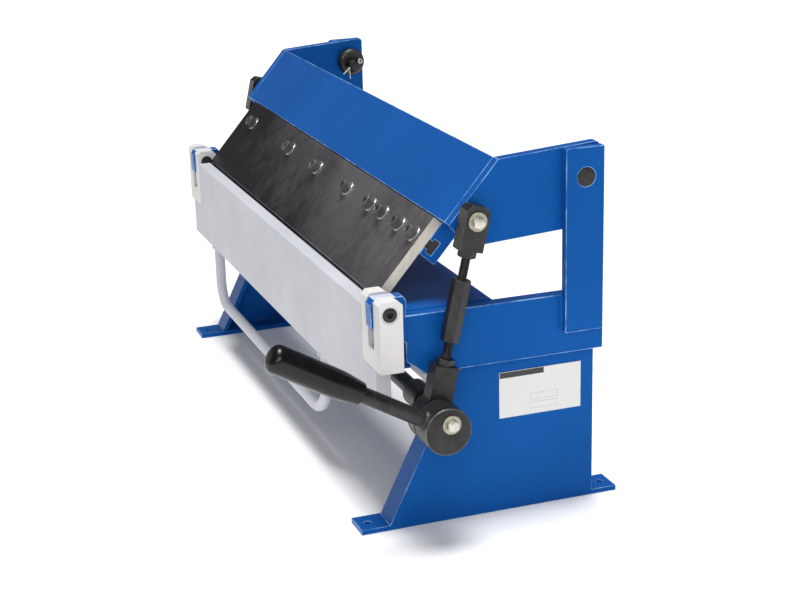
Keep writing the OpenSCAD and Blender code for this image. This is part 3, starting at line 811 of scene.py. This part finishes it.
def cross_shaft():
    """The shaft and its thinner journals, which end just inside the hubs' faces."""
    bm = bmesh.new()
    stack(bm, round_bar(-SHAFT_STEP, SHAFT_STEP, SHAFT_R, 0.5), along_x(0, SHAFT), 64)
    for side in (1, -1):
        journal = round_bar(SHAFT_STEP - 2, HUB_OUT[side] - 0.6, JOURNAL_R, 0.5)
        stack(bm, journal, along_x(0, SHAFT, side), 48)
    settle(finish_mesh("cross_shaft_body", bm, BLACK), "lever", "black_steel", "cross_shaft")


def eccentrics():
    for name, side in (("right", 1), ("left", -1)):
        bm = bmesh.new()
        stack(bm, round_bar(LINK_IN + 0.2, HUB_IN, CAM_R, 0.6), along_x(0, CAM, side), 72)
        settle(finish_mesh(name + "_eccentric_body", bm, BLACK), "lever", "black_steel",
               name + "_eccentric")


def hubs():
    for name, side in (("right", 1), ("left", -1)):
        bm = bmesh.new()
        bm.faces.layers.float.new("wear")
        stack(bm, round_bar(HUB_IN, HUB_OUT[side], HUB_R, 1.1), along_x(0, CAM, side), 96)
        bm.faces.ensure_lookup_table()
        edge_faces(bm, [f for f in bm.faces if f.calc_area() < 1.2e-6])
        settle(finish_mesh(name + "_hub_body", bm, BLACK), "lever", "black_steel", name + "_hub")


def lever_bar():
    bm = bmesh.new()
    stack(bm, round_bar(LEVER_START, GRIP_BORE_END, LEVER_R, 0.6), on_lever(), 56)
    settle(finish_mesh("lever_bar_body", bm, BLACK), "lever", "black_steel", "lever_bar")
    weld = bmesh.new()

    def ring(z, r):
        return lambda t: (z, r + 0.4 * abs(math.sin(6 * t)))
    stack(weld, [(14, 7.1), ring(14, 9.8), ring(20.5, 9.8), ring(23, 8.8), ring(24.6, 7.7),
                 (25, 7.3)], on_lever(), 60, True)
    settle(finish_mesh("lever_weld", weld, BLACK, 60), "lever", "black_steel")


def lever_grip():
    """Domed grip, tapered towards a rolled mouth, with a bore for the lever bar."""
    bore = LEVER_R + RUN_GAP
    lip, lip_r = 1.2, 9.4
    taper = GRIP_START + lip
    mouth_r = lip_r + lip
    flat, round_r = GRIP_DOME
    dome = LEVER_REACH - round_r
    profile = [(GRIP_BORE_END, 0), (GRIP_BORE_END, bore), (GRIP_START + 0.6, bore), (GRIP_START, 8),
               (GRIP_START, lip_r)]
    profile += [(GRIP_START + lip * (1 - math.cos(a)), lip_r + lip * math.sin(a))
                for a in (0.4, 0.8, 1.2, 1.57)]
    profile += [(taper + (GRIP_FULL - taper) * k / 12,
                 mouth_r + (GRIP_R - mouth_r) * math.sin(math.pi / 2 * k / 12))
                for k in range(1, 13)]
    profile += [(GRIP_FULL + (dome - GRIP_FULL) * k / 6, GRIP_R) for k in range(1, 7)]
    profile += [(dome + round_r * math.sin(a), flat + round_r * math.cos(a))
                for a in [math.radians(9 * k) for k in range(1, 11)]]
    profile += [(LEVER_REACH, 0)]
    bm = bmesh.new()
    stack(bm, profile, on_lever(), 80)
    settle(finish_mesh("lever_grip_body", bm, GRIP, 60), "lever", "grip_plastic", "lever_grip")


def hub_bolts():
    bolts, washers = bmesh.new(), bmesh.new()
    for side in (1, -1):
        m, face = along_x(0, SHAFT, side), HUB_OUT[side]
        stack(bolts, round_bar(face - 22, face + 2.2, M6_R - 0.02, 0.3), m, 32)
        hex_bolt(bolts, m, face + WASHER_T, M6_HEAD_H - 0.02, M6_ACROSS)
        stack(washers, washer_profile(face, face + WASHER_T, M6_R + RUN_GAP, M6_WASHER_R, 0.3),
              m, 56, True)
    settle(finish_mesh("hub_bolts_body", bolts, ZINC), "lever", "bright_steel", "hub_bolts")
    settle(finish_mesh("hub_washers_body", washers, WASHER), "lever", "bright_steel", "hub_washers")


# ---------------------------------------------------------------- links

def links():
    for name, side in (("right", 1), ("left", -1)):
        body = name + "_link"
        refined(name + "_clevis", body, "black_steel", BLACK, 0.7)
        refined(name + "_big_end", body, "black_steel", BLACK, 0.6)
        m = on_link(side)
        rods = bmesh.new()
        for low, high in (UPPER_ROD, LOWER_ROD):
            stack(rods, thread_rings(low, high, radius=4.5, depth=0.65, pitch=1.5), m, 36)
        settle(finish_mesh(name + "_link_rods_body", rods, BLACK, 80), body, "bright_steel",
               name + "_link_rods")
        nuts = bmesh.new()
        for low, high in (UPPER_NUT, LOWER_NUT):
            stack(nuts, hex_rings(low, high, 15), m, 72)
        settle(finish_mesh(name + "_jam_nuts_body", nuts, BLACK, 25), body, "black_steel",
               name + "_jam_nuts")
        sleeve = bmesh.new()
        stack(sleeve, hex_rings(SLEEVE[0], SLEEVE[1], 15.5), m, 72)
        settle(finish_mesh(name + "_turnbuckle_body", sleeve, BLACK, 25), name + "_sleeve",
               "black_steel", name + "_turnbuckle")


# ---------------------------------------------------------------- stage, lights, camera

def floor():
    """A wide round floor, just below the feet so that no faces coincide."""
    bm = bmesh.new()
    stack(bm, [(0, 0), (0, 2000), (0, 6000), (0, 18000)], place((0, 0, -0.2), (0, 0, 1)), 96)
    finish_mesh("studio_floor", bm, floor_paint())


def lamp(name, place_at, aim, size, power):
    """A rectangular soft light; places and sizes are in metres."""
    data = bpy.data.lights.new(name, "AREA")
    data.shape = "RECTANGLE"
    data.size, data.size_y = size
    data.energy = power
    obj = bpy.data.objects.new(name, data)
    bpy.context.scene.collection.objects.link(obj)
    obj.location = place_at
    obj.rotation_euler = (Vector(aim) - Vector(place_at)).to_track_quat("-Z", "Y").to_euler()


def overhead(strength, tilt, spread):
    """Broad, even light from above, as from a studio ceiling; tilt and spread are in degrees."""
    data = bpy.data.lights.new("overhead", "SUN")
    data.energy = strength
    data.angle = math.radians(spread)
    obj = bpy.data.objects.new("overhead", data)
    bpy.context.scene.collection.objects.link(obj)
    obj.rotation_euler = [math.radians(a) for a in tilt]


def lights():
    overhead(3.7, (2, -2, 0), 26)
    lamp("key", (2.3, -0.7, 1.4), (0, 0, 0.2), (1.4, 1.0), 21)
    lamp("front", (1.75, -1.35, 0.75), (0.3, -0.2, 0.2), (0.34, 0.34), 3)
    world = bpy.data.worlds.new("studio")
    bpy.context.scene.world = world
    world.use_nodes = True
    back = world.node_tree.nodes["Background"]
    back.inputs["Color"].default_value = (1, 1, 1, 1)
    back.inputs["Strength"].default_value = 0.12


def camera():
    """Seen from the operator's right, a little above."""
    place_at, aim = Vector((1.7107, -0.5869, 0.6978)), Vector((0, 0.0286, 0.1158))
    forward = (aim - place_at).normalized()
    right = forward.cross(Vector((0, 0, 1))).normalized()
    up = right.cross(forward)
    roll = math.radians(-1.47)
    right2 = right * math.cos(roll) + up * math.sin(roll)
    up2 = up * math.cos(roll) - right * math.sin(roll)
    data = bpy.data.cameras.new("camera")
    data.sensor_width = 36
    data.lens = 76.47
    obj = bpy.data.objects.new("camera", data)
    bpy.context.scene.collection.objects.link(obj)
    m = Matrix((right2, up2, -forward)).transposed().to_4x4()
    m.translation = place_at
    obj.matrix_world = m
    bpy.context.scene.camera = obj


for build in (foot_panels, side_plates, posts, bed, bearings, pivot_pins, pivot_collars, split_pins,
              rating_plate, frame_welds, beam_plates, fingers, finger_screws, t_nuts, link_bolts,
              beam_welds, apron_plate, hinge_blocks, hinge_screws, bow_handle, cross_shaft,
              eccentrics, hubs, lever_bar, lever_grip, hub_bolts, links, floor, lights, camera):
    build()
bpy.context.scene.view_settings.view_transform = "Standard"
